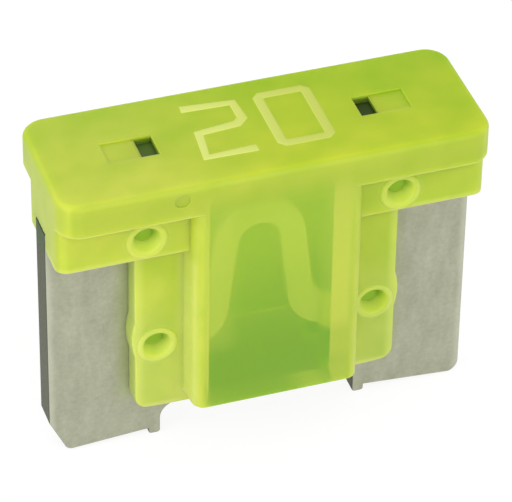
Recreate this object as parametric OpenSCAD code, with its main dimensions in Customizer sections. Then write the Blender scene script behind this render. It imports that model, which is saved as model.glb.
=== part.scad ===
// Low-profile mini blade fuse: a translucent moulded housing over one stamped zinc element.
// The housing is a cap with a narrower skirt and plate under it, and a deeper body in the
// middle whose hollow lets the fuse link be seen. The element is pushed in from below and
// held by pegs of plastic that are staked through its holes.
// Millimetres. X runs along the width, Y towards the back, Z up. Zero is midway between the
// blades, at the height of their tips.

/* [Overall] */
// Width of the cap over both ends
cap_w = 10.92; // [10.7:0.01:11.3]
// Depth of the cap and of the body under it, front to back
cap_d = 3.81; // [3.6:0.01:4.2]
// Height from the blade tips to the top of the cap
overall_h = 8.73; // [8.5:0.01:9.2]

/* [Cap] */
// Height of the cap's upright band
cap_h = 0.9; // [0.8:0.01:1.05]
// Plan radius of the cap's corners
cap_corner_r = 0.62; // [0.4:0.01:0.8]
// Radius along the cap's upper edge
cap_edge_r = 0.16; // [0.05:0.01:0.3]

/* [Skirt] */
// Height of the skirt under the cap, down to the face that seats on the holder
skirt_h = 1.32; // [1.2:0.01:1.5]
// Distance from the blades' middle plane to the front of the skirt
skirt_front = 1.46; // [1.3:0.01:1.6]
// Distance from the blades' middle plane to the back of the skirt
skirt_back = 1.04; // [1:0.01:1.6]
// Plan radius of the skirt's corners
skirt_corner_r = 0.3; // [0.15:0.01:0.45]
// Step in from the cap's end to the skirt's end
end_step = 0.02; // [0:0.01:0.05]

/* [Plate] */
// Width of the plate that covers the upper part of the blades
plate_w = 6.78; // [6.5:0.01:7.2]
// Length of the plate below the skirt
plate_drop = 5.11; // [4.8:0.01:5.3]
// Thickness of the plate in front of and behind the element
plate_wall = 0.53; // [0.48:0.01:0.58]
// Radius of the plate's lower corners
plate_corner_r = 0.35; // [0.2:0.01:0.5]
// Radius in the corner between the plate's side and the skirt
plate_fillet_r = 0.3; // [0.15:0.01:0.45]

/* [Body] */
// Width of the middle body
body_w = 4.29; // [4.1:0.01:4.5]
// Length of the body below the skirt
body_drop = 4.7; // [4.5:0.01:5]
// Plan radius of the body's upright corners
body_corner_r = 0.32; // [0.2:0.01:0.45]
// Thickness of the wall in front of and behind the fuse link
window_wall = 0.62; // [0.5:0.01:0.75]
// Thickness of the roof over the fuse link
roof = 0.7; // [0.6:0.01:0.8]
// Width of the hollow around the fuse link
chamber_w = 3.16; // [3:0.01:3.3]
// Radius of the hollow's upper corners
chamber_r = 0.6; // [0.3:0.01:0.8]

/* [Top] */
// Distance of each test hole from the middle
probe_x = 2.77; // [2.7:0.01:2.85]
// Size of a test hole along the width
probe_w = 0.44; // [0.3:0.01:0.5]
// Size of a test hole front to back
probe_d = 0.76; // [0.5:0.01:0.8]
// Length of the groove that leads outwards from a test hole
groove_l = 1.07; // [0.9:0.01:1.3]
// Depth of the groove
groove_depth = 0.05; // [0.03:0.01:0.08]

/* [Element] */
// Thickness of the sheet metal
metal_t = 0.8; // [0.7:0.01:0.85]
// Step in from the cap's end to a blade's outer edge
blade_inset = 0.01; // [0:0.01:0.1]
// Width of one blade
blade_w = 2.88; // [2.7:0.01:3]
// Rise of a blade's lower edge from its outer to its inner corner
tip_rise = 0.2; // [0.1:0.01:0.3]
// Width of the chamfer at the left blade's outer corner
tip_chamfer_w = 0.5; // [0.3:0.01:0.6]
// Height of the chamfer at the left blade's outer corner
tip_chamfer_h = 1.0; // [0.7:0.01:1.2]
// Radius of the right blade's outer corner
tip_r = 0.35; // [0.2:0.01:0.5]
// Width of the stub of metal left where a blade was cut from the strip
nub_w = 0.3; // [0.2:0.01:0.4]
// Height of that stub
nub_h = 0.2; // [0.12:0.01:0.3]
// Radius between a blade's inner edge and the metal inside the plate
neck_r = 0.45; // [0.3:0.01:0.5]
// Distance the metal shows below the plate
neck_drop = 0.5; // [0.4:0.01:0.6]
// Distance from the middle to the inner edge of the metal inside the plate
web_x = 2.0; // [1.95:0.01:2.1]
// Distance from the middle to the outer edge of the metal's narrow upper part
head_x = 3.9; // [3.75:0.01:4.1]
// Distance from the cap's top down to the metal's narrow upper part
head_depth = 1.2; // [1.1:0.01:1.3]
// Distance from the cap's top down to the blades' shoulders
shoulder_depth = 1.78; // [1.7:0.01:1.9]
// Width of the tab under each test hole
tab_w = 0.76; // [0.6:0.01:0.9]
// Distance from the cap's top down to the tab
tab_depth = 0.2; // [0.18:0.01:0.6]

/* [Fuse link] */
// Thickness of the metal where it is thinned for the link
link_t = 0.35; // [0.25:0.01:0.5]
// Width of the link's legs
leg_w = 0.68; // [0.5:0.01:0.72]
// Angle by which each leg spreads outwards on its way down
leg_splay = 7; // [3:0.5:8]
// Outer radius of the link's arch
arch_r = 1.21; // [1.1:0.01:1.24]
// Distance from the cap's top down to the arch's centre
arch_depth = 3.23; // [3:0.01:3.4]
// Distance from the cap's top down to the link's lower edge
link_depth = 6.23; // [6:0.01:6.4]
// Height of the arm that joins a leg to the blade's metal
arm_h = 1.1; // [0.9:0.01:1.2]
// Outer radius of the bend between leg and arm
bend_r = 1.1; // [0.9:0.01:1.2]
// Inner radius of the bend between leg and arm
crook_r = 0.2; // [0.1:0.01:0.3]

/* [Stakes] */
// Distance of the upper stakes from the middle
stake_top_x = 3.22; // [3.1:0.01:3.3]
// Distance from the cap's top down to the upper stakes
stake_top_depth = 1.68; // [1.64:0.01:1.7]
// Distance of the lower stakes from the middle
stake_low_x = 2.82; // [2.76:0.01:2.86]
// Distance from the cap's top down to the lower stakes
stake_low_depth = 5.37; // [5.2:0.01:5.6]
// Radius of the pegs that pass through the metal
peg_r = 0.26; // [0.2:0.01:0.3]
// Radius of a stake's dimple at the surface
dimple_r = 0.36; // [0.28:0.01:0.4]
// Depth of a stake's dimple
dimple_depth = 0.3; // [0.15:0.01:0.32]
// Radius of the swollen lip around a dimple
lip_r = 0.1; // [0.07:0.01:0.12]
// Height of the lip above its face
lip_h = 0.05; // [0.03:0.01:0.07]
// Radius of the plate's swollen edge beside a lower stake
swell_r = 1.9; // [1.2:0.1:2.5]
// How far that edge stands out
swell_out = 0.08; // [0.04:0.01:0.12]
// Distance from the cap's top down to the middle of the swell
swell_depth = 5.12; // [5:0.01:5.4]
// Radius of the moulding gate's mark
gate_r = 0.2; // [0.1:0.01:0.25]
// Distance of the moulding gate's mark from the middle
gate_x = 2.46; // [2.2:0.01:2.7]

/* [Fit] */
// Gap between the metal and the plastic
fit_gap = 0.04; // [0.02:0.01:0.06]

/* [Hidden] */

// Joined solids run into each other by this much
lap = 0.05;
// Depth of the gate's mark
gate_depth = 0.04;
// A dimple narrows to this share of its mouth
dimple_taper = 0.6;
$fn = 48;

// Heights of the housing's faces
cap_z = overall_h - cap_h;
seat_z = cap_z - skirt_h;
plate_z = seat_z - plate_drop;
body_z = seat_z - body_drop;
// Half thicknesses
slot_half = metal_t / 2 + fit_gap;
plate_half = slot_half + plate_wall;
chamber_half = cap_d / 2 - window_wall;
// Heights and edges of the element
blade_out = cap_w / 2 - blade_inset;
blade_in = blade_out - blade_w;
neck_z = plate_z - neck_drop;
shoulder_z = overall_h - shoulder_depth;
head_z = overall_h - head_depth;
tab_z = overall_h - tab_depth;
arch_z = overall_h - arch_depth;
arm_z = overall_h - link_depth;
leg_in = arch_r - leg_w;
// The metal is thin across a band that ends just inside the hollow
thin_half = chamber_w / 2 - fit_gap;
// Radius of the hollow curve between the plate's front and the skirt's
blend_r = skirt_front - plate_half;
// Middle of the lip's ring, which starts at the dimple's mouth
lip_ring = dimple_r + sqrt(lip_h * (2 * lip_r - lip_h));
STAKES = [[stake_top_x, overall_h - stake_top_depth], [stake_low_x, overall_h - stake_low_depth]];

// A rectangle about the middle, with round corners
module rounded_plan(w, d, r) {
    square([w - 2 * r, d], center = true);
    square([w, d - 2 * r], center = true);
    for (sx = [-1, 1], sy = [-1, 1])
        translate([sx * (w / 2 - r), sy * (d / 2 - r)]) circle(r);
}

// An outline drawn in X and Z, given a thickness from y0 back to y1
module upright(y0, y1) {
    translate([0, y1, 0]) rotate([90, 0, 0]) linear_extrude(y1 - y0) children();
}

// Both halves of something drawn for the right side
module both_sides() {
    children();
    mirror([1, 0, 0]) children();
}

// A block of width w whose upper corners are round, drawn as a section
module crowned(w, h, r) {
    translate([-w / 2, 0]) square([w, h - r]);
    translate([-w / 2 + r, 0]) square([w - 2 * r, h]);
    for (side = [-1, 1]) translate([side * (w / 2 - r), h - r]) circle(r);
}

// The cap: upright corners, and a smaller radius round the top
module cap_slab() {
    long = cap_w - 2 * cap_corner_r;
    deep = cap_d - 2 * cap_corner_r;
    translate([0, 0, cap_z]) {
        upright(-deep / 2, deep / 2) crowned(cap_w, cap_h, cap_edge_r);
        rotate([0, 0, 90]) upright(-long / 2, long / 2) crowned(cap_d, cap_h, cap_edge_r);
        for (sx = [-1, 1], sy = [-1, 1]) translate([sx * long / 2, sy * deep / 2, 0]) rotate_extrude()
            intersection() {
                crowned(2 * cap_corner_r, cap_h, cap_edge_r);
                square([cap_corner_r, cap_h]);
            }
    }
}

module skirt() {
    depth = skirt_front + skirt_back;
    translate([0, (skirt_back - skirt_front) / 2, seat_z]) linear_extrude(skirt_h + lap)
        rounded_plan(cap_w - 2 * end_step, depth, skirt_corner_r);
}

// Outline of the plate: round lower corners, and fillets up to the skirt
module plate_outline() {
    half = plate_w / 2;
    translate([-half + plate_corner_r, plate_z]) square([plate_w - 2 * plate_corner_r, plate_drop + lap]);
    translate([-half, plate_z + plate_corner_r]) square([plate_w, plate_drop - plate_corner_r + lap]);
    both_sides() {
        translate([half - plate_corner_r, plate_z + plate_corner_r]) circle(plate_corner_r);
        difference() {
            translate([half - lap, seat_z - plate_fillet_r])
                square([plate_fillet_r + lap, plate_fillet_r + lap]);
            translate([half + plate_fillet_r, seat_z - plate_fillet_r]) circle(plate_fillet_r);
        }
        // The edge swells beside the lower stake
        translate([half + swell_out - swell_r, overall_h - swell_depth]) circle(swell_r);
    }
}

// The plate thickens in a hollow curve up to the front of the skirt
module front_blend() {
    rotate([90, 0, 90]) linear_extrude(plate_w, center = true) difference() {
        translate([-skirt_front, seat_z - blend_r]) square([blend_r + lap, blend_r + lap]);
        translate([-skirt_front, seat_z - blend_r]) circle(blend_r);
    }
}

module body_block() {
    translate([0, 0, body_z]) linear_extrude(body_drop + skirt_h + lap)
        rounded_plan(body_w, cap_d, body_corner_r);
}

// The hollow that the fuse link hangs in, open below
module chamber() {
    translate([0, 0, plate_z - lap]) upright(-chamber_half, chamber_half)
        crowned(chamber_w, overall_h - roof - plate_z + lap, chamber_r);
}

// The slot for the element, open below and at both ends, drawn for the right side
module slot_outline() {
    low = plate_z - lap;
    inner = min(web_x, blade_in) - fit_gap;
    translate([inner, low]) square([cap_w / 2 + lap - inner, shoulder_z + fit_gap - low]);
    translate([inner, low]) square([head_x + fit_gap - inner, head_z + fit_gap - low]);
    // The link's arms pass through the hollow's side walls
    translate([chamber_w / 2 - lap, low]) square([inner + 2 * lap - chamber_w / 2, arm_z + arm_h + fit_gap - low]);
    translate([probe_x - tab_w / 2 - fit_gap, head_z]) square([tab_w + 2 * fit_gap, tab_z + fit_gap - head_z]);
}

// A test hole over each tab, in the floor of a shallow groove
module test_hole() {
    translate([probe_x - probe_w / 2, -probe_d / 2, tab_z]) cube([probe_w, probe_d, tab_depth + lap]);
    translate([probe_x - probe_w / 2, -metal_t / 2, overall_h - groove_depth])
        cube([groove_l + probe_w / 2, metal_t, groove_depth + lap]);
}

// A stake's dimple, sunk from a face at distance y_face
module dimple(x, z, y_face) {
    translate([x, y_face - dimple_depth, z]) rotate([-90, 0, 0])
        cylinder(h = dimple_depth + lap, r1 = dimple_r * dimple_taper, r2 = dimple_r + lap / 2);
}

// The plastic that the stake pushed up around its dimple, on a face at distance y_face
module lip(x, z, y_face) {
    translate([x, y_face - lip_r + lip_h, z]) rotate([90, 0, 0]) rotate_extrude()
        translate([lip_ring, 0]) circle(lip_r, $fn = 16);
}

// The sunk or raised part of all four stakes, in front and behind
module stake_marks(raised) {
    faces = [skirt_back, plate_half, skirt_front, plate_half];
    for (side = [0, 1], row = [0, 1]) both_sides() mirror([0, side, 0]) {
        if (raised) lip(STAKES[row][0], STAKES[row][1], faces[2 * side + row]);
        else dimple(STAKES[row][0], STAKES[row][1], faces[2 * side + row]);
    }
}

module housing() {
    color([0.77, 0.84, 0.28, 0.85]) {
        difference() {
            union() {
                cap_slab();
                skirt();
                upright(-plate_half, plate_half) plate_outline();
                front_blend();
                body_block();
                stake_marks(true);
            }
            chamber();
            both_sides() {
                upright(-slot_half, slot_half) slot_outline();
                test_hole();
            }
            stake_marks(false);
            translate([-gate_x, -cap_d / 2 - lap, overall_h - cap_edge_r - gate_r]) rotate([-90, 0, 0])
                cylinder(h = gate_depth + lap, r = gate_r);
        }
        both_sides() for (stake = STAKES) upright(-slot_half - lap, slot_half + lap)
            translate(stake) circle(peg_r);
    }
}

// Outline of one blade with its metal inside the plate, without its outer corner
module blade_outline() {
    difference() {
        union() {
            polygon([[blade_in, tip_rise], [blade_out, 0], [blade_out, shoulder_z], [blade_in, shoulder_z]]);
            translate([web_x, neck_z]) square([blade_out - web_x, shoulder_z - neck_z]);
            translate([web_x, neck_z]) square([head_x - web_x, head_z - neck_z]);
            translate([probe_x - tab_w / 2, head_z - lap]) square([tab_w, tab_z - head_z + lap]);
            // The neck's hollow corner, and the stub where the blade was cut off
            difference() {
                translate([blade_in - neck_r, neck_z - neck_r]) square([neck_r + lap, neck_r + lap]);
                translate([blade_in - neck_r, neck_z - neck_r]) circle(neck_r);
            }
            translate([blade_in, tip_rise - nub_h + nub_w / 4]) square([nub_w, nub_h]);
            translate([blade_in + nub_w / 4, tip_rise - nub_h]) square([nub_w / 2, nub_h]);
            for (side = [1, 3]) translate([blade_in + side * nub_w / 4, tip_rise - nub_h + nub_w / 4])
                circle(nub_w / 4);
        }
        for (stake = STAKES) translate(stake) circle(peg_r + fit_gap);
    }
}

// How far from the middle a point lies that is at height z, and is out from the arch's centre by a
// distance measured square to a leg
function beside_leg(out, z) = (out + (arch_z - z) * sin(leg_splay)) / cos(leg_splay);

// A corner between a leg and a level edge, filled out to a round of radius r about a centre
module leg_corner(centre, r, level) {
    reach = r + lap;
    difference() {
        polygon([centre, centre - reach * [cos(leg_splay), sin(leg_splay)],
                 [centre[0] - reach * cos(leg_splay), level], [centre[0], level]]);
        translate(centre) circle(r);
    }
}

// An arch of radius r whose sides run on straight and spread, down to a height
module splayed_arch(r, low) {
    shoulder = r * [cos(leg_splay), sin(leg_splay)];
    foot = beside_leg(r, low);
    translate([0, arch_z]) circle(r);
    polygon([[-foot, low], [foot, low], [shoulder[0], arch_z + shoulder[1]], [-shoulder[0], arch_z + shoulder[1]]]);
}

// The inverted U of the link, with splayed legs and an arm out to each blade's metal
module link_outline() {
    arm_top = arm_z + arm_h;
    bend = [beside_leg(leg_in + bend_r, arm_z + bend_r), arm_z + bend_r];
    crook = [beside_leg(arch_r + crook_r, arm_top + crook_r), arm_top + crook_r];
    difference() {
        union() {
            splayed_arch(arch_r, arm_z);
            translate([-web_x - lap, arm_z]) square([2 * (web_x + lap), arm_h]);
            both_sides() leg_corner(crook, crook_r, arm_top - lap);
        }
        splayed_arch(leg_in, arm_z - lap);
        both_sides() leg_corner(bend, bend_r, arm_z - lap);
    }
}

module fuse_element() {
    color([0.66, 0.67, 0.60]) {
        // Left blade, with a long chamfer at its outer corner
        upright(-metal_t / 2, metal_t / 2) mirror([1, 0]) difference() {
            blade_outline();
            polygon([[blade_out - tip_chamfer_w, -lap], [blade_out + lap, -lap],
                     [blade_out + lap, tip_chamfer_h], [blade_out, tip_chamfer_h]]);
        }
        // Right blade, with a round outer corner
        upright(-metal_t / 2, metal_t / 2) difference() {
            blade_outline();
            difference() {
                translate([blade_out - tip_r, -lap]) square(tip_r + lap);
                translate([blade_out - tip_r, tip_r]) circle(tip_r);
            }
        }
        // The link, thinned from behind, and its full-thickness arms
        upright(-metal_t / 2, -metal_t / 2 + link_t) link_outline();
        upright(-metal_t / 2, metal_t / 2) intersection() {
            link_outline();
            both_sides() translate([thin_half, arm_z]) square([web_x + lap - thin_half, arm_h]);
        }
    }
}

housing();
fuse_element();
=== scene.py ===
# %% [markdown]
# A low-profile mini blade fuse, about 11 mm wide. In such a fuse, a single piece of zinc alloy is stamped
# into two blades and the thin link between them. A translucent plastic housing is pushed over it and held
# by four stakes. The construction comes packed as a frame of two solids, so their sizes are settled. This
# script gives them their finish: soft edges, the rating number, the materials, the camera and the light.

# %% Load the frame
import math

import bmesh
import bpy
from mathutils import Matrix, Vector


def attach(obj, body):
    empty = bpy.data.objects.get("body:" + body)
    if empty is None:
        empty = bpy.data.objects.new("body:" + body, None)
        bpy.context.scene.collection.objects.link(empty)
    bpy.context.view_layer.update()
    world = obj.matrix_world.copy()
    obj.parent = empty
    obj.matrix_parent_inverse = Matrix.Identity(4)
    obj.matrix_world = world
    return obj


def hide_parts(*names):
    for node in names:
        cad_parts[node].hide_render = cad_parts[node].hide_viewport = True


MM = 0.001
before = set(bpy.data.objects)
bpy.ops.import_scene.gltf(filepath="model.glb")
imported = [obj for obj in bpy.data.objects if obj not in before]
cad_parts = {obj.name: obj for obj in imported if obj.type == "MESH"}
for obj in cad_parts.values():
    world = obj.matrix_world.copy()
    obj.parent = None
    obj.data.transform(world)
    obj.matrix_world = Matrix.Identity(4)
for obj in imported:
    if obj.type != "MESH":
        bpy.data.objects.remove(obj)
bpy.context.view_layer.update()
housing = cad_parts["housing"]
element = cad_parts["fuse_element"]

# %% [markdown]
# The camera stands where the photograph's did. A product shot of so small a thing is taken with a long lens
# from nearby, so its upright edges run almost parallel. The camera could be placed by eye, but then no edge
# would land where it should. Its angles, distance and focal length were solved instead, from corners of the
# fuse whose real places are known.

# %% Camera
IMAGE_W = 512
AZIMUTH, ELEVATION, ROLL = math.radians(19.118), math.radians(38.085), math.radians(0.968)
DISTANCE = 92.033 * MM
FOCAL_PX = 3719.0
TARGET_RIGHT, TARGET_UP, TARGET_Z = 0.040 * MM, 0.284 * MM, 4.53 * MM

level = math.cos(ELEVATION)
back = Vector((-math.sin(AZIMUTH) * level, -math.cos(AZIMUTH) * level, math.sin(ELEVATION)))
right = Vector((0, 0, 1)).cross(back).normalized()
up = back.cross(right)
image_right = right * math.cos(ROLL) + up * math.sin(ROLL)
image_up = up * math.cos(ROLL) - right * math.sin(ROLL)
eye = right * TARGET_RIGHT + up * TARGET_UP + Vector((0, 0, TARGET_Z)) + back * DISTANCE
camera_data = bpy.data.cameras.new("camera")
camera_data.sensor_width = 36
camera_data.lens = FOCAL_PX / IMAGE_W * camera_data.sensor_width
camera_data.clip_start, camera_data.clip_end = 0.001, 10
camera = bpy.data.objects.new("camera", camera_data)
bpy.context.scene.collection.objects.link(camera)
camera.matrix_world = Matrix.Translation(eye) @ Matrix((image_right, image_up, back)).transposed().to_4x4()
bpy.context.scene.camera = camera
print("Lens, mm:", round(camera_data.lens, 1), "- height over the floor, mm:", round(eye.z / MM, 1))

# %% [markdown]
# No edge of a real part is perfectly sharp: a mould's corners are slightly round, and a press rolls an edge
# over. A sharp edge catches no light, and that alone makes a picture look computed. The CAD solids are never
# changed, so each is copied. A copy arrives as loose triangles. Its double points are merged and its flat
# faces made whole, and then a bevel can follow the true edges.

# %% Copying a CAD solid, and rounding its edges
MERGE_WITHIN = 0.5e-6
FLAT_WITHIN = math.radians(1.0)
SHARP_BEYOND = math.radians(35)
SMOOTH_WITHIN = math.radians(30)
BEVEL_SEGMENTS = 3


def deselect():
    if bpy.context.object and bpy.context.object.mode != "OBJECT":
        bpy.ops.object.mode_set(mode="OBJECT")
    bpy.ops.object.select_all(action="DESELECT")


def finished_copy(node, name):
    """A copy of a CAD piece, joined up and with its flat faces whole, to be finished by hand."""
    deselect()
    node.select_set(True)
    bpy.context.view_layer.objects.active = node
    bpy.ops.object.duplicate()
    piece = bpy.context.object
    piece.name = name
    piece.data.name = name
    piece.data.materials.clear()
    bpy.ops.mesh.customdata_custom_splitnormals_clear()
    bpy.ops.object.mode_set(mode="EDIT")
    bpy.ops.mesh.select_all(action="SELECT")
    bpy.ops.mesh.remove_doubles(threshold=MERGE_WITHIN)
    bpy.ops.mesh.dissolve_limited(angle_limit=FLAT_WITHIN)
    bpy.ops.object.mode_set(mode="OBJECT")
    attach(piece, "root")
    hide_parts(node.name)
    return piece


def round_edges(piece, radius, wanted):
    """Rounds the sharp edges for which wanted(end, other_end) is true, with both ends in millimetres."""
    deselect()
    piece.select_set(True)
    bpy.context.view_layer.objects.active = piece
    bpy.ops.object.mode_set(mode="EDIT")
    bpy.ops.mesh.select_mode(type="EDGE")
    bpy.ops.mesh.select_all(action="DESELECT")
    bpy.ops.mesh.edges_select_sharp(sharpness=SHARP_BEYOND)
    mesh = bmesh.from_edit_mesh(piece.data)
    for edge in mesh.edges:
        if edge.select and not wanted(*(vert.co / MM for vert in edge.verts)):
            edge.select_set(False)
    chosen = sum(edge.select for edge in mesh.edges)
    bmesh.update_edit_mesh(piece.data)
    bpy.ops.mesh.bevel(offset=radius * MM, segments=BEVEL_SEGMENTS, affect="EDGES", clamp_overlap=False,
                       loop_slide=False)
    bpy.ops.object.mode_set(mode="OBJECT")
    bpy.ops.object.shade_smooth_by_angle(angle=SMOOTH_WITHIN)
    print(piece.name, "-", chosen, "edges rounded by", radius, "mm,", len(piece.data.polygons), "faces")


# %% [markdown]
# The housing is one moulding: a cap, a skirt that rests on the fuse holder, two thin plates over the blades
# and a hollow body between them. Rounding every edge would also round its slot, its hollow and the little
# lips of the stakes, which fit closely and are too small for it. So only its outside is rounded, and above
# the seat only its corners, because there the CAD already has the cap's big radii.

# %% The moulded housing
SEAT_Z = 6.51
METAL_HALF = 0.4
CHAMBER_HALF_W = 1.58
CHAMBER_HALF_D = 1.285
STAKE_TOP = (3.22, 7.05)
STAKE_LOW = (2.82, 3.36)
LIP_OUTER_R = 0.55
SOFT_EDGE = 0.05


def plain_outer_edge(end, other_end):
    """Outside on the moulding, clear of slot, hollow and stakes. Over the seat, this means corners only."""
    for x, y, z in (end, other_end):
        in_hollow = abs(x) < CHAMBER_HALF_W + 0.1 and abs(y) < CHAMBER_HALF_D + 0.1
        at_stake = any(math.hypot(abs(x) - stake_x, z - stake_z) < LIP_OUTER_R
                       for stake_x, stake_z in (STAKE_TOP, STAKE_LOW))
        if in_hollow or at_stake or abs(y) < METAL_HALF + 0.1:
            return False
    # The gate mark's rim has short upright edges of its own, which stay as they are
    upright = (end - other_end).xy.length < 0.01 and abs(end.z - other_end.z) > 0.2
    return upright or max(end.z, other_end.z) < SEAT_Z - 0.05


shell = finished_copy(housing, "moulded_housing")
round_edges(shell, SOFT_EDGE, plain_outer_edge)

# %% [markdown]
# The element is stamped from 0.8 mm sheet, and its link is thinned to 0.35 mm. The punch rolls the near side
# of each cut over, and in the photograph the left blade's lowest point is blunt. Two bevels do this: a wider
# one on that point alone, and a fine one on every sharp edge. The other corners are shaped in the CAD.

# %% The stamped element
BLUNT_TIP = 0.12
ROLLED_EDGE = 0.04


def tip_corner(end, other_end):
    """The lower corner of the left blade's chamfer, the one sharp corner of the outline at the tips."""
    return max(end.z, other_end.z) < 0.1 and abs(end.x) > 4.2 and abs(end.y - other_end.y) > 0.5


def any_edge(end, other_end):
    return True


sheet_metal = finished_copy(element, "stamped_element")
round_edges(sheet_metal, BLUNT_TIP, tip_corner)
round_edges(sheet_metal, ROLLED_EDGE, any_edge)

# %% [markdown]
# The rating stands on the cap as strokes about a quarter of a millimetre wide, raised by less than a hair.
# A font would bring its own letter shapes, but these digits have straight strokes with cut corners. So each
# digit is drawn as a line, given a round section, made a mesh, and then flattened on to the cap.

# %% The rating number
TOP_Z = 8.73
STROKE = 0.27
STROKE_H = 0.02
TWO = [(-1.57, 1.15), (-0.27, 1.07), (-0.23, 0.40), (-0.42, 0.21), (-1.43, 0.10), (-1.54, -0.87),
       (-0.26, -0.85)]
NOUGHT_X, NOUGHT_Y, NOUGHT_CUT = (0.38, 1.60), (-0.88, 1.13), 0.10


def stroke(name, points, closed):
    curve = bpy.data.curves.new(name, "CURVE")
    curve.dimensions = "3D"
    curve.bevel_depth = STROKE / 2 * MM
    curve.bevel_resolution = 2
    curve.use_fill_caps = not closed
    line = curve.splines.new("POLY")
    line.points.add(len(points) - 1)
    for point, (x, y) in zip(line.points, points):
        point.co = (x * MM, y * MM, 0, 1)
    line.use_cyclic_u = closed
    digit = bpy.data.objects.new(name, curve)
    bpy.context.scene.collection.objects.link(digit)
    deselect()
    digit.select_set(True)
    bpy.context.view_layer.objects.active = digit
    bpy.ops.object.convert(target="MESH")
    digit = bpy.context.object
    digit.scale.z = STROKE_H / (STROKE / 2)
    digit.location.z = TOP_Z * MM
    bpy.ops.object.transform_apply(location=True, rotation=False, scale=True)
    bpy.ops.object.shade_flat()
    return digit


(x0, x1), (y0, y1), cut = NOUGHT_X, NOUGHT_Y, NOUGHT_CUT
nought = [(x0 + cut, y1), (x1 - cut, y1), (x1, y1 - cut), (x1, y0 + cut), (x1 - cut, y0), (x0 + cut, y0),
          (x0, y0 + cut), (x0, y1 - cut)]
digits = [stroke("digit_2", TWO, False), stroke("digit_0", nought, True)]
deselect()
for digit in digits:
    digit.select_set(True)
bpy.context.view_layer.objects.active = digits[0]
bpy.ops.object.join()
rating = bpy.context.object
rating.name = "rating_number"
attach(rating, "root")
print(rating.name, len(rating.data.polygons), "faces, raised by", STROKE_H, "mm")

# %% [markdown]
# A material is a small network of nodes, and one function adds them all. The fuse's colours change from
# place to place, and light and shade are painted into them too, such as a paler glow where the plastic is
# thin. Painting a picture on it would do, but would tie the look to one mesh. Here the nodes read where a
# point is, in millimetres, and a zone picks out one part of the fuse with soft borders. Both are the same
# from whichever side one looks.

# %% Colours, nodes and zones


def colour(hex_code):
    """An sRGB hex colour as the linear values that Blender works in."""
    channels = [int(hex_code[i:i + 2], 16) / 255 for i in (1, 3, 5)]
    linear = [c / 12.92 if c <= 0.04045 else ((c + 0.055) / 1.055) ** 2.4 for c in channels]
    return (*linear, 1.0)


def new_material(name):
    material = bpy.data.materials.new(name)
    material.use_nodes = True
    tree = material.node_tree
    tree.nodes.clear()
    output = tree.nodes.new("ShaderNodeOutputMaterial")
    return material, tree, output


def add(tree, kind, **given):
    """Adds a node. A name that the node has is a setting, and any other is an input, with in0 the first."""
    node = tree.nodes.new("ShaderNode" + kind)
    for name, value in given.items():
        if hasattr(node, name):
            setattr(node, name, value)
            continue
        numbered = name.startswith("in") and name[2:].isdigit()
        socket = node.inputs[int(name[2:]) if numbered else name.replace("_", " ")]
        if isinstance(value, bpy.types.Node):
            value = next(out for out in value.outputs if out.enabled)
        if isinstance(value, bpy.types.NodeSocket):
            tree.links.new(value, socket)
        else:
            socket.default_value = value
    return node


def fuse_place(tree):
    """Where a point of the fuse is, in millimetres, and how squarely its surface faces along each axis."""
    here = add(tree, "TexCoord").outputs["Object"]
    measured = add(tree, "VectorMath", operation="SCALE", in0=here, Scale=1 / MM)
    x, y, z = add(tree, "SeparateXYZ", in0=measured).outputs
    surface = add(tree, "NewGeometry")
    square = add(tree, "VectorMath", operation="ABSOLUTE", in0=surface.outputs["Normal"])
    facing_x, facing_y, facing_z = add(tree, "SeparateXYZ", in0=square).outputs
    return {
        "here": here, "x": x, "y": y, "z": z,
        "side": add(tree, "Math", operation="ABSOLUTE", in0=x),
        "depth": add(tree, "Math", operation="ABSOLUTE", in0=y),
        "facing_x": facing_x, "facing_y": facing_y, "facing_z": facing_z,
        "from_inside": surface.outputs["Backfacing"],
    }


def zone(tree, place, *reaches, strength=1.0):
    """One part of the fuse. Each reach is (measure, where the zone is full, where it has faded out).

    Places are in millimetres. A facing, and from_inside, go from 0 to 1.
    """
    mask = strength
    for measure, full, gone in reaches:
        fade = add(tree, "MapRange", interpolation_type="SMOOTHSTEP", in0=place[measure], in1=gone, in2=full)
        mask = add(tree, "Math", operation="MULTIPLY", in0=fade, in1=mask)
    return mask


print("Green of the plastic in linear light:", [round(c, 3) for c in colour("#a2c62e")])

# %% [markdown]
# The housing is injection-moulded and tinted yellow-green. Nylon is taken as its plastic, because many fuse
# housings are made of it and it is milky like this one: light enters, scatters and comes out nearby, so its
# edges glow and its shadows are soft. Full volume scattering would show this best, but it is slow and is
# lost on export, so subsurface scattering does it. The tone is set by place, and light is painted into it:
# yellower at the front left, which the light reaches first, paler at thin edges, where light glows through,
# and deeper in the thick cap.

# %% Moulded nylon: tones by thickness, and painted light
CAP_HALF_W = 5.46
HALF_D = 1.905
CAP_Z = 7.83
PLATE_Z = 1.40
PLATE_HALF_W = 3.39
BODY_HALF_W = 2.145
# How much of the change in tone lies across the width and how much from front to back
TONE_ACROSS, TONE_BACKWARD = 0.4, 0.6
# The width of a cloud in millimetres, and how far the clouds can shift the tone
CLOUD, CLOUD_DRIFT = 0.9, 0.9
# Reaches that several zones share: the outer skin, faces at the ends, below the seat, up to the body
OUTER_SKIN = ("depth", HALF_D - 0.05, HALF_D - 0.15)
END_ON = ("facing_x", 0.9, 0.6)
UNDER_SEAT = ("z", SEAT_Z - 0.3, SEAT_Z - 0.1)
TO_BODY = ("side", BODY_HALF_W + 0.05, BODY_HALF_W + 0.15)

nylon, tree, output = new_material("moulded_nylon")
place = fuse_place(tree)
# Painted light: the tone runs from yellow at the front left, nearer the lamps, to a deeper green at the back
# right
across = add(tree, "Math", operation="MULTIPLY_ADD", in0=place["x"],
             in1=TONE_ACROSS / (2 * CAP_HALF_W), in2=TONE_ACROSS / 2)
backward = add(tree, "Math", operation="MULTIPLY_ADD", in0=place["y"],
               in1=TONE_BACKWARD / (2 * HALF_D), in2=TONE_BACKWARD / 2)
to_back_right = add(tree, "Math", operation="ADD", in0=across, in1=backward)
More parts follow.
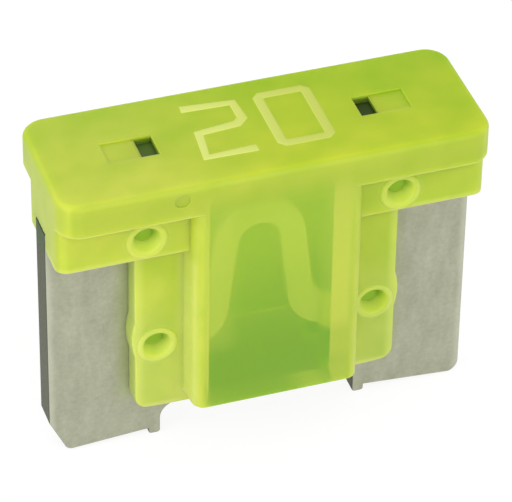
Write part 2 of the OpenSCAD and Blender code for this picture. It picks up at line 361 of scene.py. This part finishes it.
# Pigment and thickness are never quite even, so the tone drifts a little in soft clouds
clouds = add(tree, "TexNoise", in0=place["here"], Scale=1 / (CLOUD * MM), Detail=1.0, Roughness=0.5)
drift = add(tree, "Math", operation="MULTIPLY_ADD", in0=clouds, in1=CLOUD_DRIFT, in2=-CLOUD_DRIFT / 2)
to_back_right = add(tree, "Math", operation="ADD", use_clamp=True, in0=to_back_right, in1=drift)
tone = add(tree, "Mix", data_type="RGBA", in0=to_back_right, in6=colour("#ccd850"), in7=colour("#a2c62e"))

plate_side = [("side", PLATE_HALF_W - 0.08, PLATE_HALF_W - 0.30), UNDER_SEAT]
# Painted light: thin edges, the plates' and skirt's feet, and the body's sides and corners are painted paler,
# as light glowing through the plastic
painted_edge_glows = [
    zone(tree, place, *plate_side, strength=0.28),
    zone(tree, place, ("z", PLATE_Z + 0.06, PLATE_Z + 0.16), strength=0.45),
    zone(tree, place, ("z", SEAT_Z + 0.04, SEAT_Z + 0.18), ("side", 3.6, 3.4), strength=0.27),
    zone(tree, place, ("side", BODY_HALF_W - 0.05, BODY_HALF_W - 0.20), TO_BODY, ("z", 3.0, 6.5),
         strength=0.36),
    zone(tree, place, ("side", BODY_HALF_W - 0.05, BODY_HALF_W - 0.15), TO_BODY, END_ON, ("z", 5.0, 7.0),
         strength=0.55),
    zone(tree, place, ("side", BODY_HALF_W + 0.02, BODY_HALF_W + 0.28),
         ("side", BODY_HALF_W - 0.05, BODY_HALF_W - 0.10), UNDER_SEAT, strength=0.4),
]
painted_rim_glow = painted_edge_glows[0]
for edge_glow in painted_edge_glows[1:]:
    painted_rim_glow = add(tree, "Math", operation="MAXIMUM", in0=painted_rim_glow, in1=edge_glow)
tone = add(tree, "Mix", data_type="RGBA", in0=painted_rim_glow, in6=tone, in7=colour("#e3ec86"))
# Painted light: where the thin plates lie over the metal, the metal shows through as a paler grey-green,
# a little in front and more at their flanks, standing in for the light it sends back through them
painted_metal_through = zone(tree, place, ("z", 3.0, 5.5), ("side", BODY_HALF_W + 0.15, BODY_HALF_W + 0.05),
                  ("facing_y", 0.9, 0.6), strength=0.15)
tone = add(tree, "Mix", data_type="RGBA", in0=painted_metal_through, in6=tone, in7=colour("#d4dca8"))
flank = zone(tree, place, *plate_side, END_ON)
tone = add(tree, "Mix", data_type="RGBA", in0=flank, in6=tone, in7=colour("#b8ca66"))
cap_band = zone(tree, place, ("z", CAP_Z, CAP_Z - 0.1), OUTER_SKIN, strength=0.35)
tone = add(tree, "Mix", data_type="RGBA", in0=cap_band, in6=tone, in7=colour("#a0b838"))
# Seen from above, one looks into the full height of the cap, and its yellow deepens away from the light
cap_top = zone(tree, place, ("facing_z", 0.9, 0.6), ("z", TOP_Z - 0.02, TOP_Z - 0.10), ("x", 1.0, -3.5))
tone = add(tree, "Mix", data_type="RGBA", blend_type="MULTIPLY", in0=cap_top, in6=tone,
           in7=colour("#ffffb8"))
# The cap's two ends are seen along its length, where it is thickest
ends = zone(tree, place, END_ON, ("side", 5.0, 4.6), strength=0.3)
tone = add(tree, "Mix", data_type="RGBA", in0=ends, in6=tone, in7=colour("#a0b838"))
print("Tones set by", len(tree.nodes), "nodes")

# %% [markdown]
# Four stakes go through the metal, and each leaves a dimple with a thin lip around it. Their depth is in
# the CAD. What the eye sees there is mostly light and shade, painted on as colour: a pale glowing lip, a
# bright wall, and a painted green shade in the dimple's upper part. How far a point is from the nearest
# stake's axis is enough to tell them apart. Two small windows in the cap, for a tester's probes, are
# painted darker inside, as shade.

# %% Moulded nylon: stakes and test holes
DIMPLE_R = 0.36
DIMPLE_FLOOR_R = 0.216
SHADE_LIFT = 0.10
PROBE_X, PROBE_HALF_W = 2.77, 0.30

front_view = add(tree, "CombineXYZ", X=place["side"], Z=place["z"])
# The shade in a dimple lies in its upper part, so it is measured from a little above the axis
for measure, lift in (("from_stake", 0), ("from_shade", SHADE_LIFT)):
    to_top, to_low = (add(tree, "VectorMath", operation="DISTANCE", in0=front_view,
                          in1=(stake_x, 0, stake_z + lift)) for stake_x, stake_z in (STAKE_TOP, STAKE_LOW))
    place[measure] = add(tree, "Math", operation="MINIMUM", in0=to_top, in1=to_low)
# Painted light: the thin lip around each dimple is paler, as if glowing
painted_lip_glow = zone(tree, place, ("from_stake", LIP_OUTER_R - 0.10, LIP_OUTER_R + 0.10),
            ("from_stake", DIMPLE_R + 0.03, DIMPLE_R - 0.03), strength=0.25)
tone = add(tree, "Mix", data_type="RGBA", in0=painted_lip_glow, in6=tone, in7=colour("#e3ec86"))
# Painted light on the dimple's sloping sides
painted_lit_walls = zone(tree, place, ("from_stake", DIMPLE_R, DIMPLE_R + 0.06), ("facing_y", 0.6, 0.9),
             strength=0.75)
tone = add(tree, "Mix", data_type="RGBA", in0=painted_lit_walls, in6=tone, in7=colour("#e0ec70"))
# Painted shade: the dimple's upper part is greener
painted_dimple_shade = zone(tree, place, ("from_shade", DIMPLE_FLOOR_R, DIMPLE_R),
              ("from_stake", DIMPLE_R, DIMPLE_R + 0.03))
tone = add(tree, "Mix", data_type="RGBA", in0=painted_dimple_shade, in6=tone, in7=colour("#a2ca38"))
# Painted shade inside the probe openings
painted_hole_shade = zone(tree, place, ("side", PROBE_X - 0.24, PROBE_X - PROBE_HALF_W),
            ("side", PROBE_X + 0.24, PROBE_X + PROBE_HALF_W), ("z", TOP_Z - 0.08, TOP_Z - 0.03),
            ("z", CAP_Z + 0.1, CAP_Z), ("depth", METAL_HALF, METAL_HALF + 0.05))
tone = add(tree, "Mix", data_type="RGBA", in0=painted_hole_shade, in6=tone, in7=colour("#7c9c2c"))
print("Stakes at x, z:", STAKE_TOP, STAKE_LOW, "mm, on both sides")

# %% [markdown]
# In the middle, the wall is only 0.62 mm thick over a hollow, so the link shows through it as a pale ghost.
# Real refraction and absorption would need clear plastic and many light bounces. Instead, the wall's skin
# keeps a deeper green of its own and lets what is behind it add to that. The hollow's own walls then decide
# where the dark window ends, as they do on the real fuse, and it stays right from any side. The walls'
# insides are painted with a dark green shade, and the light that the link's arms throw on the narrow ones
# is painted there as a pale glow.

# %% Moulded nylon: the hollow behind the window
CHAMBER_TOP = 8.03
BODY_Z = 1.81
# The arms' light climbs this much on each millimetre of its way forward from the metal
ARM_CLIMB = 0.6
SEEN_OUTSIDE, SEEN_INSIDE = ("from_inside", 0.4, 0.6), ("from_inside", 0.6, 0.4)
FACES_FRONT, FACES_DOWN = ("facing_y", 0.71, 0.69), ("facing_z", 0.71, 0.69)

clear_wall = zone(tree, place, ("side", 1.84, 1.98), ("z", CHAMBER_TOP - 0.5, CHAMBER_TOP + 0.5),
                  OUTER_SKIN)
downward = zone(tree, place, ("z", 3.0, 7.5))
# Painted shade: the window's own green deepens towards its bottom
deeper = add(tree, "Mix", data_type="RGBA", in0=downward, in6=colour("#a2c43c"), in7=colour("#80b030"))
# Towards its sides, the window glows with the light that the arms and the narrow walls send back
near_sides = zone(tree, place, ("side", 1.5, 0.9), ("side", 1.7, 1.9), ("z", 3.9, 3.4), strength=0.35)
deeper = add(tree, "Mix", data_type="RGBA", in0=near_sides, in6=deeper, in7=colour("#b8cc50"))
# The body's foot lets some light in from below
near_foot = zone(tree, place, ("z", BODY_Z, BODY_Z + 0.9), strength=0.35)
deeper = add(tree, "Mix", data_type="RGBA", in0=near_foot, in6=deeper, in7=colour("#a2c43c"))
tone = add(tree, "Mix", data_type="RGBA", in0=clear_wall, in6=tone, in7=deeper)

hollow = zone(tree, place, ("side", CHAMBER_HALF_W + 0.04, CHAMBER_HALF_W + 0.10),
              ("depth", CHAMBER_HALF_D + 0.04, CHAMBER_HALF_D + 0.10),
              ("z", CHAMBER_TOP + 0.04, CHAMBER_TOP + 0.10))
wide_wall = zone(tree, place, FACES_FRONT)
climb = add(tree, "Math", operation="MULTIPLY_ADD", in0=place["depth"], in1=-ARM_CLIMB,
            in2=ARM_CLIMB * METAL_HALF)
place["arm_level"] = add(tree, "Math", operation="ADD", in0=place["z"], in1=climb)
# Painted light: the arms' glow on the narrow walls, between these levels
arm_light = zone(tree, place, ("arm_level", 2.6, 2.4), ("arm_level", 3.5, 3.75))
narrow = add(tree, "Mix", data_type="RGBA", in0=arm_light, in6=colour("#4e7420"), in7=colour("#e4ea9a"))
# Painted shade: the wide walls' insides are dark green
shade = add(tree, "Mix", data_type="RGBA", in0=wide_wall, in6=narrow, in7=colour("#3c5c14"))
# The slot's mouth by the hollow is painted in the same shade
slot_mouth = zone(tree, place, ("side", BODY_HALF_W - 0.05, BODY_HALF_W),
                  ("depth", METAL_HALF + 0.05, METAL_HALF + 0.10), ("z", 3.80, 3.90))
in_shade = add(tree, "Math", operation="MAXIMUM", in0=hollow, in1=slot_mouth)
in_shade = add(tree, "Math", operation="MULTIPLY", in0=in_shade, in1=zone(tree, place, SEEN_OUTSIDE))
tone = add(tree, "Mix", data_type="RGBA", in0=in_shade, in6=tone, in7=shade)
print("Window wall, mm:", round(HALF_D - CHAMBER_HALF_D, 2))

# %% [markdown]
# Now the tones become a surface. Nylon's index is about 1.53. Moulds for such parts are often left satin by
# spark erosion, so the skin is fairly rough here and its shine is faint, and a very fine grain breaks that
# up. A ray that has gone through the skin meets the plastic from inside: it passes the hollow's wide walls,
# sees light scattered in the solid parts, and is turned back at the body's foot by total reflection.

# %% Moulded nylon: the surface
# Real grain of this kind is a few hundredths of a millimetre. This one is three pixels wide, so that it shows
GRAIN = 0.08
NYLON_INDEX = 1.53
# The scattered light at the back and at the right, as shares of the light in front and at the left
AT_BACK, AT_RIGHT = 0.5, 0.8

grain = add(tree, "TexNoise", in0=place["here"], Scale=1 / (GRAIN * MM), Detail=2.0, Roughness=0.5)
satin = add(tree, "Bump", Strength=0.08, Distance=0.002 * MM, Height=grain)
skin = add(tree, "BsdfPrincipled", Base_Color=tone, Roughness=0.42, IOR=NYLON_INDEX,
           Specular_IOR_Level=0.2, Subsurface_Weight=0.9, Subsurface_Radius=(1.0, 1.0, 0.35),
           Subsurface_Scale=0.5 * MM, Normal=satin)
added = add(tree, "Mix", data_type="RGBA", in0=clear_wall, in6=colour("#000000"), in7=colour("#d4bc61"))
see_through = add(tree, "BsdfTransparent", Color=added)
outside = add(tree, "AddShader", in0=skin, in1=see_through)

# More light is scattered in front and on the left, nearer the lamps
scatter_tone = add(tree, "Mix", data_type="RGBA", in0=downward, in6=colour("#866f81"), in7=colour("#b8ad9e"))
front, left = zone(tree, place, ("y", -0.4, 0.4)), zone(tree, place, ("x", -1.0, 1.0))
from_front = add(tree, "Math", operation="MULTIPLY_ADD", in0=front, in1=1 - AT_BACK, in2=AT_BACK)
from_left = add(tree, "Math", operation="MULTIPLY_ADD", in0=left, in1=1 - AT_RIGHT, in2=AT_RIGHT)
scattered = add(tree, "Math", operation="MULTIPLY", in0=from_front, in1=from_left)
scatter = add(tree, "Emission", Color=scatter_tone, Strength=scattered)
solid = add(tree, "MixShader", in0=place["from_inside"], in1=outside, in2=scatter)

# Light reaches the hollow through its walls, and the eye passes the wide ones
shadow_ray = add(tree, "LightPath").outputs["Is Shadow Ray"]
let_in = add(tree, "Math", operation="MAXIMUM", in0=clear_wall, in1=hollow)
let_in = add(tree, "Math", operation="MULTIPLY", in0=let_in, in1=shadow_ray)
passed = add(tree, "Math", operation="MULTIPLY", in0=hollow,
             in1=zone(tree, place, FACES_FRONT, SEEN_INSIDE))
opened = add(tree, "Math", operation="MAXIMUM", in0=let_in, in1=passed)
nothing = add(tree, "BsdfTransparent", Color=colour("#ffffff"))
plastic = add(tree, "MixShader", in0=opened, in1=solid, in2=nothing)

foot = zone(tree, place, FACES_DOWN, SEEN_INSIDE, ("z", BODY_Z + 0.04, BODY_Z + 0.10))
mirror = add(tree, "BsdfAnisotropic", Color=colour("#e7e7e7"), Roughness=0.3)
whole = add(tree, "MixShader", in0=foot, in1=plastic, in2=mirror)
tree.links.new(whole.outputs[0], output.inputs["Surface"])
shell.data.materials.append(nylon)
print(nylon.name, "has", len(tree.nodes), "nodes")

# %% [markdown]
# The rating is the same nylon. In the photograph its strokes look frosted, as if the mould had left them
# matt, so they are paler and rougher than the cap under them.

# %% Frosted nylon
MATT_FROM, MATT_TO = 0.45, 0.65

frosted, tree, output = new_material("frosted_nylon")
place = fuse_place(tree)
grain = add(tree, "TexNoise", in0=place["here"], Scale=1 / (GRAIN * MM), Detail=2.0, Roughness=0.5)
# Painted light: the strokes are paler on the left, towards the left lamp
painted_lit_side = zone(tree, place, ("x", -1.6, 1.6))
tone = add(tree, "Mix", data_type="RGBA", in0=painted_lit_side, in6=colour("#cdd95e"), in7=colour("#dfea78"))
blasted = add(tree, "Math", operation="MULTIPLY_ADD", in0=grain, in1=MATT_TO - MATT_FROM, in2=MATT_FROM)
coarse = add(tree, "Bump", Strength=0.2, Distance=0.003 * MM, Height=grain)
frost = add(tree, "BsdfPrincipled", Base_Color=tone, Roughness=blasted, IOR=NYLON_INDEX,
            Specular_IOR_Level=0.38, Normal=coarse)
# So thin a ridge lets light through, or else the cap beside it would darken into an outline
shadow_ray = add(tree, "LightPath").outputs["Is Shadow Ray"]
let_through = add(tree, "Math", operation="MAXIMUM", in0=shadow_ray, in1=place["from_inside"])
nothing = add(tree, "BsdfTransparent", Color=colour("#ffffff"))
ridge = add(tree, "MixShader", in0=let_through, in1=frost, in2=nothing)
tree.links.new(ridge.outputs[0], output.inputs["Surface"])
rating.data.materials.append(frosted)
print(frosted.name, "on", rating.name)

# %% [markdown]
# The element is taken as rolled zinc alloy, stamped and left bare. Bare zinc soon dulls, here to a soft warm
# grey. It reflects like a metal under a thin skin of oxide, so it is only half metallic and rather rough.
# The rolls leave faint streaks along the blades, and the oxide an even speckle. The press leaves dark shear
# marks on the cut edges, which are also painted darker as shade, and rolls the outermost ones over, where a
# painted highlight makes them bright.

# %% Stamped zinc alloy
BLADE_OUT = 5.45
# How wide the streaks and the speckle are, fitted to the photograph
STREAK = 0.385
SPECKLE = 0.111
STREAK_WEIGHT = 0.95
HALF_METALLIC = 0.5

zinc, tree, output = new_material("stamped_zinc_alloy")
place = fuse_place(tree)
along = add(tree, "Mapping", in0=place["here"], Scale=(1.0, 1.0, 0.35))
streaks = add(tree, "TexNoise", in0=along, Scale=1 / (STREAK * MM), Detail=2.0, Roughness=0.5)
speckle = add(tree, "TexNoise", in0=place["here"], Scale=1 / (SPECKLE * MM), Detail=3.0, Roughness=0.65)
mottle = add(tree, "Math", operation="MULTIPLY_ADD", in0=streaks, in1=STREAK_WEIGHT,
             in2=-STREAK_WEIGHT / 2)
mottle = add(tree, "Math", operation="MULTIPLY_ADD", use_clamp=True, in0=speckle, in1=1.0, in2=mottle)
tone = add(tree, "Mix", data_type="RGBA", in0=mottle, in6=colour("#9c9d86"), in7=colour("#c1c1ac"))
# Painted highlight on the rolled-over outer edges
rolled_edge_highlight = zone(tree, place, ("side", BLADE_OUT - 0.04, BLADE_OUT - 0.22), strength=0.4)
tone = add(tree, "Mix", data_type="RGBA", in0=rolled_edge_highlight, in6=tone, in7=colour("#d8d9c6"))
# Painted reflection: the plastic's green is painted on the metal next to the plates
painted_green_reflection = zone(tree, place, ("side", PLATE_HALF_W + 0.05, PLATE_HALF_W + 0.50),
              ("z", PLATE_Z + 0.2, PLATE_Z - 0.3), strength=0.4)
tone = add(tree, "Mix", data_type="RGBA", in0=painted_green_reflection, in6=tone, in7=colour("#a9b672"))
# The cut edges are darker: partly shear marks, partly painted shade
cut_edge = zone(tree, place, ("facing_y", 0.4, 0.85))
tone = add(tree, "Mix", data_type="RGBA", in0=cut_edge, in6=tone, in7=colour("#474a2e"))
# Up in the cap's slot and under the test holes, the metal lies in green shade
in_slot = zone(tree, place, ("facing_y", 0.4, 0.85), ("z", 6.7, 5.9))
tone = add(tree, "Mix", data_type="RGBA", in0=in_slot, in6=tone, in7=colour("#34501a"))
# Painted light and shade on the tabs under the probe openings: dark green, paler on the left, which the left
# lamp reaches
left_hole = zone(tree, place, ("x", -1.0, 1.0))
painted_tab_light_and_shade = add(tree, "Mix", data_type="RGBA", in0=left_hole, in6=colour("#3a501c"), in7=colour("#5a7630"))
tabs = zone(tree, place, ("z", 8.48, 8.40))
tone = add(tree, "Mix", data_type="RGBA", in0=tabs, in6=tone, in7=painted_tab_light_and_shade)
# The link never rubs on a terminal, and the milky wall in front takes its shine away. Its tone is painted
# nearly white, as light, so that its ghost shows through that wall
link = zone(tree, place, ("side", CHAMBER_HALF_W + 0.1, CHAMBER_HALF_W + 0.3))
tone = add(tree, "Mix", data_type="RGBA", in0=link, in6=tone, in7=colour("#f2efdf"))
metallic = add(tree, "Math", operation="MULTIPLY_ADD", in0=link, in1=-HALF_METALLIC, in2=HALF_METALLIC)
dull = add(tree, "Math", operation="MULTIPLY_ADD", in0=speckle, in1=MATT_TO - MATT_FROM, in2=MATT_FROM)
grit = add(tree, "Bump", Strength=0.15, Distance=0.004 * MM, Height=speckle)
metal = add(tree, "BsdfPrincipled", Base_Color=tone, Roughness=dull, Metallic=metallic, Normal=grit)
tree.links.new(metal.outputs[0], output.inputs["Surface"])
sheet_metal.data.materials.append(zinc)
print(zinc.name, "has", len(tree.nodes), "nodes")

# %% [markdown]
# The photograph's ground is pure white. Lighting a floor until it turns white would burn out the plastic
# too. So the floor shines only for rays that the eye follows, and a part of it stays real paper, which
# keeps the fuse's soft shadow. Through the plastic, one looks down at the paper under the fuse, which is in
# the dark, and from below the floor isn't there.

# %% Floor
FLOOR_SIZE = 2.0
# The paper itself gives back less than white, so the glow makes up for its share
JUST_WHITE, PAPER_GIVES, PAPER_SHARE = 1.01, 0.71, 0.18
WHITE_WITH_PAPER = (JUST_WHITE - PAPER_GIVES * PAPER_SHARE) / (1 - PAPER_SHARE)

deselect()
bpy.ops.mesh.primitive_plane_add(size=FLOOR_SIZE, location=(0, 0, 0))
floor = bpy.context.object
floor.name = "floor"
paper, tree, output = new_material("white_paper")
path = add(tree, "LightPath")
eye_ray = add(tree, "Math", operation="MAXIMUM", in0=path.outputs["Is Camera Ray"],
              in1=path.outputs["Is Glossy Ray"])
eye_ray = add(tree, "Math", operation="MAXIMUM", in0=eye_ray, in1=path.outputs["Is Transmission Ray"])
unhindered = add(tree, "Math", operation="LESS_THAN", in0=path.outputs["Transparent Depth"], in1=0.5)
glow_tone = add(tree, "Mix", data_type="RGBA", in0=unhindered, in6=colour("#303030"), in7=colour("#ffffff"))
glow = add(tree, "Emission", Strength=WHITE_WITH_PAPER, Color=glow_tone)
sheet = add(tree, "BsdfDiffuse", Color=colour("#f3f3f3"))
share = add(tree, "Math", operation="MULTIPLY", in0=unhindered, in1=PAPER_SHARE)
glowing_paper = add(tree, "MixShader", in0=share, in1=glow, in2=sheet)
seen_paper = add(tree, "MixShader", in0=eye_ray, in1=sheet, in2=glowing_paper)
from_below = add(tree, "NewGeometry").outputs["Backfacing"]
one_sided = add(tree, "MixShader", in0=from_below, in1=seen_paper, in2=add(tree, "BsdfTransparent"))
tree.links.new(one_sided.outputs[0], output.inputs["Surface"])
floor.data.materials.append(paper)
print("Paper's share of the floor:", PAPER_SHARE)

# %% [markdown]
# The light is a studio's: a bright room, a large soft lamp in front and another on the left. Their
# strengths were set together with the colours above, against the tones of the photograph.

# %% World and lamps
ROOM_STRENGTH = 0.70
FUSE_MIDDLE = Vector((0, 0, 0.004))

world = bpy.data.worlds.new("studio")
bpy.context.scene.world = world
world.use_nodes = True
world.node_tree.nodes["Background"].inputs["Color"].default_value = colour("#ffffff")
world.node_tree.nodes["Background"].inputs["Strength"].default_value = ROOM_STRENGTH


def lamp(name, location, size, power):
    data = bpy.data.lights.new(name, "AREA")
    data.size = size
    data.energy = power
    light = bpy.data.objects.new(name, data)
    bpy.context.scene.collection.objects.link(light)
    light.location = location
    light.rotation_mode = "QUATERNION"
    light.rotation_quaternion = (light.location - FUSE_MIDDLE).to_track_quat("Z", "Y")
    print(name, "lamp", round((light.location - FUSE_MIDDLE).length / MM), "mm away,", power, "W")


lamp("front", location=(0.01, -0.13, 0.11), size=0.08, power=0.07)
lamp("left", location=(-0.14, -0.05, 0.09), size=0.10, power=0.07)
bpy.context.scene.view_settings.view_transform = "Standard"
